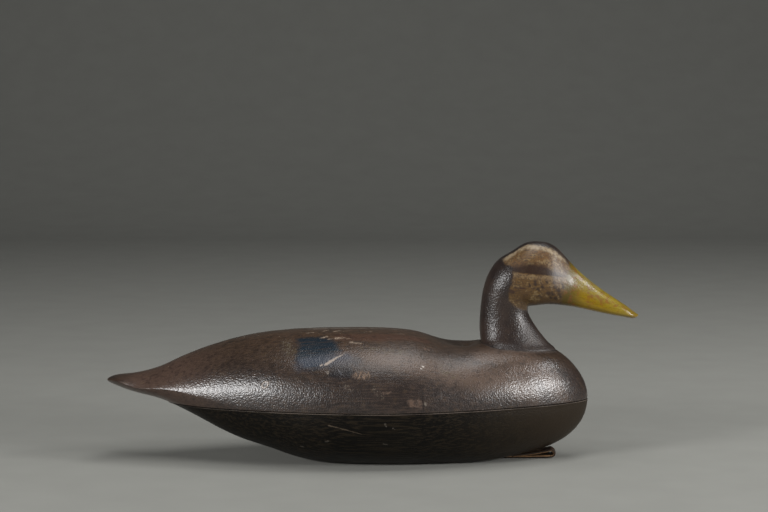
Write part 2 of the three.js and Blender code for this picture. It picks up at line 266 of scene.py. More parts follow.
# top x and z, low x and z, half-width, widest line, fullness above and below, rim
HEAD_LINES = np.array(
    [
        (92.6, 94.6, 154, 88.6, 26.5, 0.3, 2.3, 1.9, 1),
        (92, 99.6, 155.3, 92.8, 26.5, 0.3, 2.3, 1.9, 1),
        (91.6, 102, 151.3, 96.8, 22.9, 0.34, 2.25, 1.95, 1),
        (91.3, 104.8, 147.2, 100.9, 20.7, 0.38, 2.2, 2, 1),
        (90.9, 111.5, 140.6, 109.2, 18.7, 0.44, 2.1, 2.1, 1),
        (91.5, 128, 132.9, 121.6, 17.6, 0.5, 2.1, 2.1, 1),
        (96.6, 153.3, 131.7, 127.4, 19.8, 0.46, 2.1, 2.1, 1),
        (108, 170.2, 132.4, 129.4, 22, 0.5, 2.1, 2.1, 1),
        (118, 176.3, 135.2, 129.9, 22.6, 0.53, 2.1, 2.15, 1),
        (128.6, 182.8, 139.5, 130.3, 22.4, 0.57, 2.1, 2.2, 1),
        (141, 184.4, 147, 131, 21.4, 0.6, 2.1, 2.2, 1),
        (149.6, 182.9, 152.6, 131, 19.8, 0.61, 2.1, 2.2, 1),
        (157.6, 177.6, 158.4, 130.6, 17, 0.62, 2.1, 2.2, 1),
        (168.6, 165.7, 167.6, 129.4, 13.4, 0.66, 2, 2.2, 1),
        (184.5, 151.1, 182.5, 126.4, 11.4, 0.72, 1.9, 2.3, 1),
        (203, 137.7, 200.5, 122.6, 11.2, 0.7, 1.9, 2.3, 1),
        (217.5, 128, 215.5, 119.9, 10.4, 0.6, 2, 2.2, 1),
        (223.4, 123.6, 222, 119.3, 6.6, 0.5, 2, 2, 1),
        (225.5, 121.4, 225.5, 121.4, 0, 0.5, 2, 2, 1),
    ]
)
print("sections:", len(BODY_LINES), "of the body and", len(HEAD_LINES), "of the head")


# %% Fairing
def mirrored(section):
    """The section on the far side of a closed end: its edges change places and its half-width turns
    negative, so that a curve through both comes out round at the end."""
    top_x, top_z, low_x, low_z, half, widest, above, below, rim = section
    return np.array([low_x, low_z, top_x, top_z, -half, 1 - widest, below, above, rim])


def fair(sections, round_start):
    """A natural cubic spline through the sections: its second derivatives solve the usual three-banded
    system, and between two rows it is the straight line plus (a^3 - a) and (b^3 - b) times those."""
    before = [mirrored(sections[2]), mirrored(sections[1])] if round_start else []
    rows = np.array([*before, *sections, mirrored(sections[-2]), mirrored(sections[-3])])
    steps = np.linalg.norm(np.diff(rows[:, :5], axis=0), axis=1)
    knots = np.concatenate([[0], np.cumsum(steps)])
    turns = np.diff(np.diff(rows, axis=0) / steps[:, None], axis=0)
    bands = np.diag(2 * (steps[:-1] + steps[1:])) + np.diag(steps[1:-1], 1) + np.diag(steps[1:-1], -1)
    bends = np.zeros_like(rows)
    bends[1:-1] = np.linalg.solve(bands, 6 * turns)

    def section_at(distance):
        i = np.clip(np.searchsorted(knots, distance, side="right") - 1, 0, len(steps) - 1)
        b = ((distance - knots[i]) / steps[i])[:, None]
        a = 1 - b
        curve = (a**3 - a) * bends[i] + (b**3 - b) * bends[i + 1]
        return a * rows[i] + b * rows[i + 1] + curve * steps[i, None] ** 2 / 6

    return section_at, knots[len(before)], knots[len(before) + len(sections) - 1]


def round_section(sections, angles):
    """Points round each section: sideways it goes as sin^(2/fullness) times the half-width, and down it
    goes as cos^(2/(fullness rim)), first to the widest line and then on to the low edge."""
    top_x, top_z, low_x, low_z, half, widest, above, below, rim = sections.T[:, :, None]
    down = np.cos(angles)
    out = np.sin(angles)
    fullness = np.where(down >= 0, above, below)
    side = np.sign(out) * np.abs(out) ** (2 / fullness)
    reach = np.abs(down) ** (2 / (fullness * rim))
    drop = np.where(down >= 0, widest * (1 - reach), widest + (1 - widest) * reach)
    return np.stack([top_x + (low_x - top_x) * drop, side * half, top_z + (low_z - top_z) * drop], axis=-1)


body_at, TAIL_END, BREAST_END = fair(BODY_LINES, True)
head_at, FOOT_END, BILL_END = fair(HEAD_LINES, False)
print("way along the body: %.0f mm, along the head: %.0f mm" % (BREAST_END - TAIL_END, BILL_END - FOOT_END))


# %% Smooth wandering heights
LATTICE = 64
# Keeps a length that may be nothing from being a divisor of 0
TINY = 1e-9


def wander(places, size, seed):
    """Smooth random heights from -1 to 1: a random value at each corner of a lattice of the given size,
    blended over the eight corners round a place with s * s * (3 - 2 s)."""
    corners = np.random.default_rng(seed).uniform(-1, 1, (LATTICE, LATTICE, LATTICE))
    cells = places / size
    low = np.floor(cells).astype(int)
    share = cells - low
    share = share * share * (3 - 2 * share)
    total = np.zeros(places.shape[:-1])
    for corner in np.ndindex(2, 2, 2):
        weight = np.prod(np.where(corner, share, 1 - share), axis=-1)
        i, j, k = np.moveaxis((low + corner) % LATTICE, -1, 0)
        total += weight * corners[i, j, k]
    return total


def tooling(grid, marks):
    """What rasp and knife left uneven: the sum of wandering heights, each with its height in mm, its size
    in mm and its seed."""
    return sum(height * wander(grid, size, seed) for height, size, seed in marks)


def outward(grid):
    """Unit normals of a grid: the way along it crossed with the way round it."""
    normals = np.cross(np.gradient(grid, axis=0), np.gradient(grid, axis=1))
    length = np.linalg.norm(normals, axis=-1, keepdims=True)
    return normals / np.maximum(length, TINY)


def step_up(value, low, high):
    """0 below low, 1 above high, and s * s * (3 - 2 s) between them."""
    share = np.clip((value - low) / (high - low), 0, 1)
    return share * share * (3 - 2 * share)


def rounded_edge(distance, radius):
    """How far a surface drops towards a rounded edge: the radius less the root of radius^2 - s^2, where s
    is what the distance from the edge falls short of the radius."""
    return radius - np.sqrt(radius**2 - np.clip(radius - distance, 0, radius) ** 2)


def cap(grid, row):
    """A row of points that all lie in the middle of the given row, and close the grid there."""
    return grid[[row]].mean(axis=1, keepdims=True) * np.ones((1, grid.shape[1], 1))


# %% From a grid to a mesh
# Points that lie nearer to each other than this, in metres, are one point
MERGE_WITHIN = 1e-7


def skin(name, grid, surface, fields):
    """A closed mesh over a grid that goes round: four-sided faces between neighbours, with the points that
    fall together at the ends merged. The surface coordinates become the UV map, and each field becomes an
    attribute."""
    along, around = grid.shape[:2]
    mesh = bpy.data.meshes.new(name)
    mesh.vertices.add(along * around)
    mesh.vertices.foreach_set("co", (grid * MM).astype(np.float32).ravel())
    here = np.arange((along - 1) * around).reshape(along - 1, around)
    beside = np.roll(here, -1, axis=1)
    corners = np.stack([here, here + around, beside + around, beside], axis=-1).ravel()
    mesh.loops.add(len(corners))
    mesh.loops.foreach_set("vertex_index", corners.astype(np.int32))
    mesh.polygons.add(len(corners) // 4)
    mesh.polygons.foreach_set("loop_start", np.arange(0, len(corners), 4, dtype=np.int32))
    mesh.update(calc_edges=True)
    layer = mesh.uv_layers.new(name="surface")
    layer.uv.foreach_set("vector", (surface.reshape(-1, 2)[corners] * MM).astype(np.float32).ravel())
    for field, values in fields.items():
        attribute = mesh.attributes.new(field, "FLOAT", "POINT")
        attribute.data.foreach_set("value", values.astype(np.float32).ravel())
    work = bmesh.new()
    work.from_mesh(mesh)
    bmesh.ops.remove_doubles(work, verts=work.verts, dist=MERGE_WITHIN)
    work.to_mesh(mesh)
    work.free()
    mesh.shade_smooth()
    piece = bpy.data.objects.new(name, mesh)
    bpy.context.collection.objects.link(piece)
    print(name, "has", len(mesh.polygons), "faces")
    return piece


# %% [markdown]
# ## Marks in the paint
# Knocks and wear are drawn on the unrolled skin: x along the decoy, and the girth, which is the way down from
# the crest of the back over the side, measured on the surface. A mark is a short stroke with round ends, and
# a field holds the distance to the edge of the nearest mark, which a material can turn into a crisp chip.


# %% Distances on the unrolled skin
def to_strokes(x, girth, strokes):
    """How far a point lies outside the nearest stroke, negative inside: the distance to the nearest point of
    the line from start to end, less the half-width there, which runs evenly from the first to the last."""
    nearest = np.full(x.shape, np.inf)
    for (start_x, start_g), (end_x, end_g), half_start, half_end in strokes:
        way_x, way_g = end_x - start_x, end_g - start_g
        share = ((x - start_x) * way_x + (girth - start_g) * way_g) / max(way_x**2 + way_g**2, TINY)
        share = np.clip(share, 0, 1)
        gap = np.hypot(x - start_x - share * way_x, girth - start_g - share * way_g)
        nearest = np.minimum(nearest, gap - half_start - share * (half_end - half_start))
    return nearest


def to_outline(x, girth, corners):
    """How far a point lies outside a closed outline, negative inside: the distance to the nearest side,
    with its sign from how many sides a ray along x crosses."""
    sides = list(zip(corners, corners[1:] + corners[:1]))
    distance = to_strokes(x, girth, [(start, end, 0, 0) for start, end in sides])
    inside = np.zeros(x.shape, dtype=bool)
    for (start_x, start_g), (end_x, end_g) in sides:
        rise = end_g - start_g or TINY
        crossing = start_x + (girth - start_g) * (end_x - start_x) / rise
        inside ^= ((start_g > girth) != (end_g > girth)) & (x < crossing)
    return np.where(inside, -distance, distance)


# %% [markdown]
# ## The body
# The hull is cut apart at the seam. Each half follows the sections from the seam's edge on one side to its
# edge on the other, and a flat face closes it along the seam. Columns crowd together near the seam, because
# the edge there has a small rounding and the lower half stands a hair proud, which catches the light as a
# thin line. The planed bottom and the trough behind the neck are pressed into the same grid.

# %% The seam and the planed bottom
SEAM_HEIGHT = 49.2
SEAM_RISE = 0.0068
JOINT_GAP = 0.3
LEVEL_REAR_X = -15
LEVEL_FRONT_X = 50
ROCKER_REAR = {"reach": 64, "rise": 6.5}
ROCKER_FRONT = {"reach": 69, "rise": 3.6}
TROUGH = {"x": 79, "depth": 4.8, "rear": 16, "front": 7, "side": 13}
ARRIS_SOFTNESS = 1.6
COLUMNS_UP = 108
COLUMNS_DOWN = 92
ROWS_UP = 410
ROWS_DOWN = 380

# Close steps next to the seam, from mm to shares of the way there from the crest or the keel
HALF_GIRTH = 110
EDGE_STEPS = np.array([2.6, 1.9, 1.35, 0.95, 0.65, 0.4, 0.2, 0]) / HALF_GIRTH


def turns_to_seam(columns):
    """Shares of the way from the middle column to the seam, from -1 on one side to 1 on the other: even
    steps, and then the close steps next to the seam."""
    even = np.linspace(0, 1 - EDGE_STEPS[0], columns, endpoint=False)
    shares = np.concatenate([even, 1 - EDGE_STEPS])
    return np.concatenate([-shares[::-1], shares[1:]])


def seam_angle(sections, side):
    """The angle where a section meets its face of the seam, found from how far down the section it lies:
    cos^(2/(fullness rim)) is the share of the way to the widest line that is left, or past it."""
    x, top_z, _, low_z, _, widest, above, below, rim = sections.T
    plane = SEAM_HEIGHT + SEAM_RISE * x + side * JOINT_GAP / 2
    drop = np.clip((top_z - plane) / np.maximum(top_z - low_z, TINY), 0, 1)
    up = np.clip(1 - drop / widest, 0, 1) ** (above * rim / 2)
    down = np.clip((drop - widest) / (1 - widest), 0, 1) ** (below * rim / 2)
    return np.arccos(np.clip(np.where(drop <= widest, up, -down), -1, 1))


def planed_height(x):
    """Level in the middle, and rising with the square of the way past it at both ends."""
    rear = np.maximum(0, (LEVEL_REAR_X - x) / ROCKER_REAR["reach"])
    front = np.maximum(0, (x - LEVEL_FRONT_X) / ROCKER_FRONT["reach"])
    return ROCKER_REAR["rise"] * rear**2 + ROCKER_FRONT["rise"] * front**2


def girth_of(grid):
    """The way round each section from its middle column, summed from point to point."""
    steps = np.linalg.norm(np.diff(grid, axis=1), axis=-1)
    way = np.concatenate([np.zeros((len(grid), 1)), np.cumsum(steps, axis=1)], axis=1)
    return np.abs(way - way[:, [grid.shape[1] // 2]])


def from_foot(x, y):
    """About how far a point of the back lies outside the neck's foot: its outline has a rear and a front
    part with their own fullness, and the root of the sum of the powers of both shares is 1 on it."""
    rear_x, _, front_x, _, half, widest, behind, before, _ = HEAD_LINES[1]
    middle_x = rear_x + widest * (front_x - rear_x)
    to_rear = (middle_x - x) / (middle_x - rear_x)
    to_front = (x - middle_x) / (front_x - middle_x)
    along = np.where(x < middle_x, to_rear, to_front)
    fullness = np.where(x < middle_x, behind, before)
    root = (along**fullness + (np.abs(y) / half) ** fullness) ** (1 / fullness)
    return (root - 1) * half


print("seam at %.1f mm under the breast tip" % (SEAM_HEIGHT + SEAM_RISE * BODY_ROWS[-1, 0]))

# %% Upper half of the body
# The seat for the neck is sunk a little inside the foot's outline, so that the foot covers its edge
SEAT = {"centre_x": 123.5, "half_length": 29.5, "half_width": 21.5, "rear_z": 91.5, "fall": 0.098}
SEAT_ABOVE = 80
EDGE_ROUNDING = 0.7
UPPER_TOOLING = [(0.16, 26, 3), (0.1, 11, 4), (0.035, 3.4, 5)]
SEAM_FADE = (0.5, 6)
TAIL_TIP_FADE = (-224, -200)

upper_sections = body_at(np.linspace(TAIL_END, BREAST_END, ROWS_UP))
upper_angles = seam_angle(upper_sections, 1)[:, None] * turns_to_seam(COLUMNS_UP)
upper = round_section(upper_sections, upper_angles)
x, y, z = np.moveaxis(upper, -1, 0)

reach = np.where(x < TROUGH["x"], TROUGH["rear"], TROUGH["front"])
dent = np.exp(-(((x - TROUGH["x"]) / reach) ** 2) - (y / TROUGH["side"]) ** 2)
upper[..., 2] -= TROUGH["depth"] * dent * (z > SEAM_HEIGHT)
upper_girth = girth_of(upper)
from_seam = upper_girth[:, [0]] - upper_girth

# The tool marks fade out at the seam, which has to close, and at the crisp tip of the tail
fading = step_up(from_seam, *SEAM_FADE) * step_up(x, *TAIL_TIP_FADE)
uneven = tooling(upper, UPPER_TOOLING) * fading
upper += outward(upper) * (uneven - rounded_edge(from_seam, EDGE_ROUNDING))[..., None]

x, y, z = np.moveaxis(upper, -1, 0)
in_seat = ((x - SEAT["centre_x"]) / SEAT["half_length"]) ** 2 + (y / SEAT["half_width"]) ** 2 < 1
seat_z = SEAT["rear_z"] - SEAT["fall"] * (x - SEAT["centre_x"] + SEAT["half_length"])
upper[..., 2] = np.where(in_seat & (z > SEAT_ABOVE), seat_z, z)
print("upper half: %d by %d points" % upper.shape[:2])

# %% [markdown]
# ## Where the body's paint is worn
# The viewer's side has the marks of a long working life: flaked chips above the blue wing patch, a bare
# scratch across it, a patch rubbed down to the priming, and what looks like a plugged nail hole near the
# tail. The far side is finished in keeping and plainer, with the same wing patch and a few chips of its own.

# %% Marks on the upper half
# A stroke has its start and its end as (x, girth), and its half-width at either end
WING_PATCH = [
    (-64, 29), (-57, 27), (-44, 27.5), (-33, 34), (-29.5, 42), (-26, 51), (-36, 57), (-46, 70), (-56, 66),
    (-63.5, 56), (-61, 44),
]
ON_BOTH_SIDES = {
    "blue_haze": [((-40, 62), (-14, 64), 7, 6)],
    # The grey band on the wing patch's lower part is a painted sheen of the overhead light
    "bloom": [((-58, 61), (-22, 59.5), 6.5, 5.5)],
    "dark_spot": [((-32, 74.3), (-20, 74.6), 3.2, 3.6)],
    "russet": [((-27, 29), (6, 31), 7, 9), ((6, 29), (44, 25), 9, 5)],
    "olive": [((-73, 32), (-68, 46), 5, 6), ((58, 60), (66, 66), 5, 4), ((-8, 50), (24, 53), 4, 4)],
    # Worn paint along the back and the shoulder, and partly a painted sheen of the overhead light
    "rubbed": [
        ((-26, 59), (60, 64), 6, 11),
        ((60, 66), (128, 58), 11, 12),
        ((120, 48), (152, 44), 9, 9),
        ((94, 38), (134, 36), 8, 9),
    ],
}
ON_NEAR_SIDE = {
    "border": [
        ((-63.5, 55), (-60.5, 63.8), 0.5, 1.1),
        ((-60.5, 63.8), (-55, 68), 1.1, 1.3),
        ((-55, 68), (-43.4, 73.5), 1.3, 0.6),
        ((-34, 76), (-19, 78.5), 0.5, 1.2),
    ],
    "tan_spots": [
        ((31, 99.5), (38.5, 98.6), 2.7, 3.3),
        ((43.7, 38.8), (43.9, 42.4), 0.9, 0.9),
        ((47.1, 39), (47.3, 41.6), 0.7, 0.7),
        ((10, 93.4), (14.5, 92.4), 1.5, 0.7),
    ],
    "pale_dots": [
        ((-36.7, 72), (-36.5, 73.4), 0.9, 0.8),
        ((43.4, 96.4), (43.6, 97.6), 1.0, 0.9),
        ((91, 89.6), (91.4, 89.8), 0.8, 0.8),
    ],
    "hatched": [((-12, 77.5), (-5, 78), 4.2, 4.4)],
    "flecked": [
        ((-22, 86), (-17, 90), 3.4, 2.6),
        ((2, 90), (8, 97), 3, 2.4),
        ((-72, 31), (-70, 44), 5, 5),
    ],
}
FLAKES = [
    ((-43.3, 29.8), (-38.5, 27.5), 1.0, 1.6),
    ((-36.8, 32.9), (-34.5, 31.9), 0.7, 0.8),
    ((-30.5, 31.5), (-24.5, 31), 1.6, 1.7),
    ((-21.3, 33), (-18.6, 32.4), 0.5, 0.3),
    ((-18, 39.5), (-15.5, 40), 1.5, 1.1),
    ((-15, 40.8), (-9.5, 41.6), 1.0, 0.9),
    ((-32.4, 14), (-27.6, 12), 1.1, 1.3),
    ((-55, 16.4), (-50, 15.4), 0.8, 0.9),
    ((-42, 12), (-38.5, 10), 0.7, 1.0),
    ((-22, 12.2), (-19.5, 10.8), 0.8, 0.6),
    ((-2, 14), (2, 13), 0.6, 0.4),
    ((22, 18), (26, 17.5), 0.5, 0.3),
]
FAR_FLAKES = [
    ((-38, 24), (-30, 27), 1.2, 0.8),
    ((-4, 17), (3, 19), 1.1, 0.6),
    ((31, 88), (37, 90), 1.6, 0.9),
    ((-110, 60), (-103, 61), 0.9, 0.5),
]
# Farther from a mark than any wear round it reaches
NO_MARK = 30

upper_fields = {
    "wing_patch": to_outline(x, upper_girth, WING_PATCH),
    "flakes": np.where(y < 0, to_strokes(x, upper_girth, FLAKES), to_strokes(x, upper_girth, FAR_FLAKES)),
    "from_seam": from_seam,
    "from_neck": from_foot(x, y),
}
for field, strokes in ON_BOTH_SIDES.items():
    upper_fields[field] = to_strokes(x, upper_girth, strokes)
for field, strokes in ON_NEAR_SIDE.items():
    upper_fields[field] = np.where(y < 0, to_strokes(x, upper_girth, strokes), NO_MARK)
body_upper = skin("duck_back", upper, np.stack([x, upper_girth], axis=-1), upper_fields)

# %% Lower half of the body
PROUD = 0.22
PROUD_REACH = 1.6
RIM_ROUNDING = 0.35
LOWER_TOOLING = [(0.14, 26, 3), (0.08, 12, 6), (0.03, 3.4, 7)]
PLANED_FADE = (0, 4)
SEARCH_STEPS = 20001
LEAST_OPENING = 1e-3

# The lower half ends where a section no longer reaches below the seam, by this small angle
search = np.linspace(TAIL_END, BREAST_END, SEARCH_STEPS)
cut = np.flatnonzero(seam_angle(body_at(search), -1) < np.pi - LEAST_OPENING)
spread = (1 - np.cos(np.linspace(0, np.pi, ROWS_DOWN))) / 2
lower_sections = body_at(search[cut[0]] + (search[cut[-1]] - search[cut[0]]) * spread)
seam_at = seam_angle(lower_sections, -1)[:, None]
# From the seam on the near side under the keel to the seam on the far side
lower_angles = np.pi - (np.pi - seam_at) * turns_to_seam(COLUMNS_DOWN)
lower = round_section(lower_sections, lower_angles)[:, ::-1]
x, y, z = np.moveaxis(lower, -1, 0)

above_planed = z - planed_height(x)
blend = np.maximum(ARRIS_SOFTNESS - np.abs(above_planed), 0) ** 2 / (4 * ARRIS_SOFTNESS)
lower[..., 2] = np.maximum(z, planed_height(x)) + blend
under_girth = girth_of(lower)
below_seam = under_girth[:, [0]] - under_girth

proud = PROUD * np.exp(-((below_seam / PROUD_REACH) ** 2))
# No tool marks at the seam and on the planed bottom
fading = step_up(below_seam, *SEAM_FADE) * step_up(above_planed, *PLANED_FADE)
uneven = tooling(lower, LOWER_TOOLING) * fading
lower += outward(lower) * (uneven + proud - rounded_edge(below_seam, RIM_ROUNDING))[..., None]
lower[..., 2] = np.maximum(lower[..., 2], planed_height(lower[..., 0]))
print("lower half: %d by %d points, lowest %.2f mm" % (*lower.shape[:2], lower[..., 2].min()))

# %% Marks on the lower half
x, y, z = np.moveaxis(lower, -1, 0)
seam_girth = np.interp(x[:, 0], upper[:, 0, 0], upper_girth[:, 0])[:, None]
lower_girth = seam_girth + below_seam
NEAR_SPOTS = [
    ((10.5, 118.5), (11.5, 121), 0.8, 0.5),
    ((16.5, 121.5), (18, 122.5), 0.6, 0.6),
    ((-38, 132), (-36.5, 132.4), 0.8, 0.8),
    ((-59, 136), (-57.5, 136.6), 0.9, 0.7),
    ((9, 138.2), (13, 138.6), 0.7, 0.4),
]
lower_fields = {
    "spots": np.where(y < 0, to_strokes(x, lower_girth, NEAR_SPOTS), NO_MARK),
    "from_seam": below_seam,
    "above_planed": above_planed,
}
body_lower = skin("duck_belly", lower, np.stack([x, lower_girth], axis=-1), lower_fields)

# %% [markdown]
# ## Head, neck and bill
# They are one block of wood. The sections fan round the throat like the pages of a book, from the foot that
# is let into the back, up the neck, over the crown and out along the bill. What is dark, buff or yellow on it
# is only paint, so those borders are fields on the side view, and the relief is only the marks of the knife.

# %% The block
# The sides of the neck's foot hang lower than its middle, because it is fitted over the crown of the back
SADDLE = {"drop": 2.4, "reach": 26.5, "full_up_to": 98, "gone_at": 112}
ROWS_HEAD = 420
COLUMNS_HEAD = 200
HEAD_TOOLING = [(0.12, 15, 11), (0.06, 6, 12), (0.03, 2.4, 13)]
BILL_START = (162, 172)
BILL_SMOOTHNESS = 0.6
FOOT_FADE = (100, 108)

head_sections = head_at(np.linspace(FOOT_END, BILL_END, ROWS_HEAD))
head_grid = round_section(head_sections, 2 * np.pi * np.arange(COLUMNS_HEAD) / COLUMNS_HEAD)
x, y, z = np.moveaxis(head_grid, -1, 0)
hanging = 1 - step_up(z, SADDLE["full_up_to"], SADDLE["gone_at"])
head_grid[..., 2] -= SADDLE["drop"] * hanging * (y / SADDLE["reach"]) ** 2
# Lower tool marks on the bill, and none at the foot, which has to fit its seat
fading = (1 - BILL_SMOOTHNESS * step_up(x, *BILL_START)) * step_up(z, *FOOT_FADE)
head_grid += outward(head_grid) * (tooling(head_grid, HEAD_TOOLING) * fading)[..., None]
head_grid = np.concatenate([cap(head_grid, 0), head_grid])
print("head: %d by %d points" % head_grid.shape[:2])

# %% Borders of the head's paint, as side views
FACE = [
    (110.3, 169.2), (113.5, 173), (118, 176), (122.5, 179), (128, 181.4), (134, 181.8), (141, 180.8),
    (149.5, 179), (154, 176.2), (158.5, 172.6), (163, 168), (168, 162.5), (170, 150), (168, 128), (140, 126),
    (126, 127.4), (121.5, 129.8), (117.6, 132.6), (114.4, 137), (114.2, 143.8), (116.5, 149.7),
    (117.9, 157.4), (117.6, 164), (114.7, 165.8), (111.2, 166.4),
]
BILL = [
    (166.5, 168), (166, 162), (163.8, 158), (161.5, 149.5), (160.2, 139.6), (159.4, 126), (230, 110),
    (230, 130),
]
# The dark band over the crown is nowhere narrower than this on either side of the middle
CROWN_HALF_WIDTH = 7.5
# The heights of the eye stripe's edges at some places along the head
STRIPE_X = [110, 117, 124, 131, 137, 144.6, 151, 157.5, 164]
STRIPE_LOW = [161.3, 160.9, 160, 159.1, 158.3, 158, 157, 156, 155.4]
STRIPE_UP = [165.5, 164.6, 165.6, 167, 167, 165.2, 161, 158.7, 157.6]
SPOTS = [
    ((136.1, 153.5), (136.4, 150), 0.6, 0.7), ((138.7, 146.2), (139.4, 145.4), 1.0, 0.8),
    ((142.1, 147.9), (143.1, 147.2), 1.0, 0.8), ((147.3, 142.6), (148, 142), 1.0, 1.0),
    ((153.2, 147.6), (154, 147), 0.9, 0.7), ((155.8, 145), (156.6, 144.2), 1.0, 0.9),
    ((160.1, 148.2), (160.6, 147), 0.9, 0.7), ((153.5, 137.9), (154.5, 137.4), 0.9, 0.9),
    ((152, 153), (152.4, 151), 0.6, 0.5), ((158.6, 153), (159.3, 150), 0.6, 0.5),
    ((131.4, 150.5), (132, 148.8), 0.5, 0.5), ((146, 152.4), (146.6, 151.4), 0.5, 0.5),
    ((157, 141), (158, 139), 0.7, 0.7), ((149.5, 138.4), (150.4, 138), 0.6, 0.6),
    ((150.5, 142.5), (151.5, 141), 0.7, 0.5), ((140, 140.5), (141, 139.5), 0.6, 0.6),
]
BLOTS = [((115.4, 144.4), (117.8, 143.4), 1.5, 1.3), ((119, 147.4), (128, 146.7), 0.6, 0.4)]
x, y, z = np.moveaxis(head_grid, -1, 0)
row_steps = np.linalg.norm(np.diff(head_grid, axis=0), axis=-1)
head_fields = {
    "from_rim": np.concatenate([np.zeros_like(row_steps[:1]), np.cumsum(row_steps, axis=0)]),
    "face": np.maximum(to_outline(x, z, FACE), CROWN_HALF_WIDTH - np.abs(y)),
    "bill": to_outline(x, z, BILL),
    "over_stripe_low": z - np.interp(x, STRIPE_X, STRIPE_LOW),
    "under_stripe_up": np.interp(x, STRIPE_X, STRIPE_UP) - z,
    "spots": to_strokes(x, z, SPOTS),
    "blots": to_strokes(x, z, BLOTS),
}
head = skin("duck_head", head_grid, np.stack([x, z], axis=-1), head_fields)

# %% [markdown]
# ## Line tie
# An anchor line is tied to a loop of strap leather. It is one strip, folded forwards on itself with a narrow
# eye at the fold, so it is a thin rounded section carried along a folded path. Its edges wave a little, as
# old leather does when it dries.

# %% The folded strap
STRAP_WIDTH = 16
STRAP_THICKNESS = 2.4
STRAP_MIDDLE_Y = -2
STRAP_REAR_X = 112
STRAP_REST_X = 128
STRAP_LAP = (119, 3.2)
FOLD = {"x": 155.8, "radius": 4.4, "low": 0.6, "top": 8.3}
SLACK = (139, 5.2)
SQUARENESS = 5
# Two waves in the strap's width: by what share of it, and the length of one radian in mm
SHORT_WAVE = {"share": 0.03, "radian": 6.5}
LONG_WAVE = {"share": 0.035, "radian": 15}
ROWS_STRAP = 150
COLUMNS_STRAP = 72
RUN_STEPS = 60
BEND_STEPS = 50


def strap_path():
    """The middle line of the strap seen from the side: a run on the floor that lifts from its rest on,
    half an ellipse for the fold, and a curve (1-t)^2 a + 2 t (1-t) b + t^2 c back to the lap."""
    inset = STRAP_THICKNESS / 2
    middle_x = FOLD["x"] - FOLD["radius"]
    middle_z = (FOLD["low"] + FOLD["top"]) / 2
    half = (FOLD["top"] - FOLD["low"]) / 2 - inset
    run_x = np.linspace(STRAP_REAR_X, middle_x, RUN_STEPS)
    run_z = inset + np.interp(run_x, [STRAP_REST_X, middle_x], [0, FOLD["low"]])
    turn = np.linspace(-np.pi / 2, np.pi / 2, BEND_STEPS)[1:]
    bend_x = middle_x + (FOLD["radius"] - inset) * np.cos(turn)
    run = np.stack([run_x, run_z], axis=-1)
    bend = np.stack([bend_x, middle_z + half * np.sin(turn)], axis=-1)
    t = np.linspace(0, 1, RUN_STEPS)[1:, None]
    start = bend[-1]
    slack = np.array([SLACK[0], SLACK[1] - inset])
    end = np.array([STRAP_LAP[0], STRAP_LAP[1] - inset])
    back = (1 - t) ** 2 * start + 2 * t * (1 - t) * slack + t**2 * end
    way = np.concatenate([run, bend, back])
    length = np.concatenate([[0], np.cumsum(np.linalg.norm(np.diff(way, axis=0), axis=1))])
    even = np.linspace(0, length[-1], ROWS_STRAP)
    return even, np.stack([np.interp(even, length, way[:, i]) for i in (0, 1)], axis=-1)


def squared(share):
    """A cosine or sine pushed towards -1 and 1 as share^(2/squareness), which makes a round section a
    rectangle with rounded edges."""
    return np.sign(share) * np.abs(share) ** (2 / SQUARENESS)


strap_way, strap_line = strap_path()
ahead = np.gradient(strap_line, axis=0)
ahead /= np.linalg.norm(ahead, axis=1, keepdims=True)
corner = 2 * np.pi * np.arange(COLUMNS_STRAP) / COLUMNS_STRAP
across = squared(np.cos(corner)) * STRAP_WIDTH / 2
over = squared(np.sin(corner)) * STRAP_THICKNESS / 2
short_wave = SHORT_WAVE["share"] * np.sin(strap_way / SHORT_WAVE["radian"])
long_wave = LONG_WAVE["share"] * np.cos(strap_way / LONG_WAVE["radian"])
strap = np.empty((ROWS_STRAP, COLUMNS_STRAP, 3))
strap[..., 0] = strap_line[:, [0]] - ahead[:, [1]] * over
strap[..., 1] = STRAP_MIDDLE_Y + across * (1 - short_wave - long_wave)[:, None]
strap[..., 2] = strap_line[:, [1]] + ahead[:, [0]] * over
strap = strap[:, ::-1]
strap = np.concatenate([cap(strap, 0), strap, cap(strap, -1)])
strap[..., 2] = np.maximum(strap[..., 2], 0)
strap_run = np.pad(strap_way, 1, mode="edge")[:, None] * np.ones((1, COLUMNS_STRAP))
strap_fields = {
    "edge": np.abs(strap[..., 1] - STRAP_MIDDLE_Y),
    "inner": np.ones((len(strap), 1)) * over[::-1],
}
line_tie = skin("leather_tie", strap, np.stack([strap_run, strap[..., 1]], axis=-1), strap_fields)

# %% [markdown]
# ## Which solid each piece stands for
# Every fine mesh takes the place of its plain solid, and rides on the one body that the decoy has.

# %% Pieces on the frame
PIECES = {
    "body_upper": (body_upper, "body_paint"),
    "body_lower": (body_lower, "lower_paint"),
    "head": (head, "head_paint"),
    "line_tie": (line_tie, "leather"),
}
for node, (piece, slot) in PIECES.items():
    solid = np.array(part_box(node)) / MM
    points = np.array(piece.bound_box) / MM
    growth = np.abs(np.array([points.min(axis=0), points.max(axis=0)]) - solid).max()
    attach(piece, "root")
    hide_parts(node)
    print("%s keeps to its solid within %.2f mm" % (node, growth))

# %% [markdown]
# ## Old oil paint
# The maker stippled the wet paint with a stiff brush, so that the decoy doesn't shine like a wet stone. That
# leaves small pimples a little over 1 mm apart, which break each highlight into sparks. Above them lie brush
# lines, and the colour wanders from purple brown to russet where years of handling have worn the top coat
# thin. Each finish is laid as the maker laid it: a ground colour, and coats over it, each where its mask
# lets it.


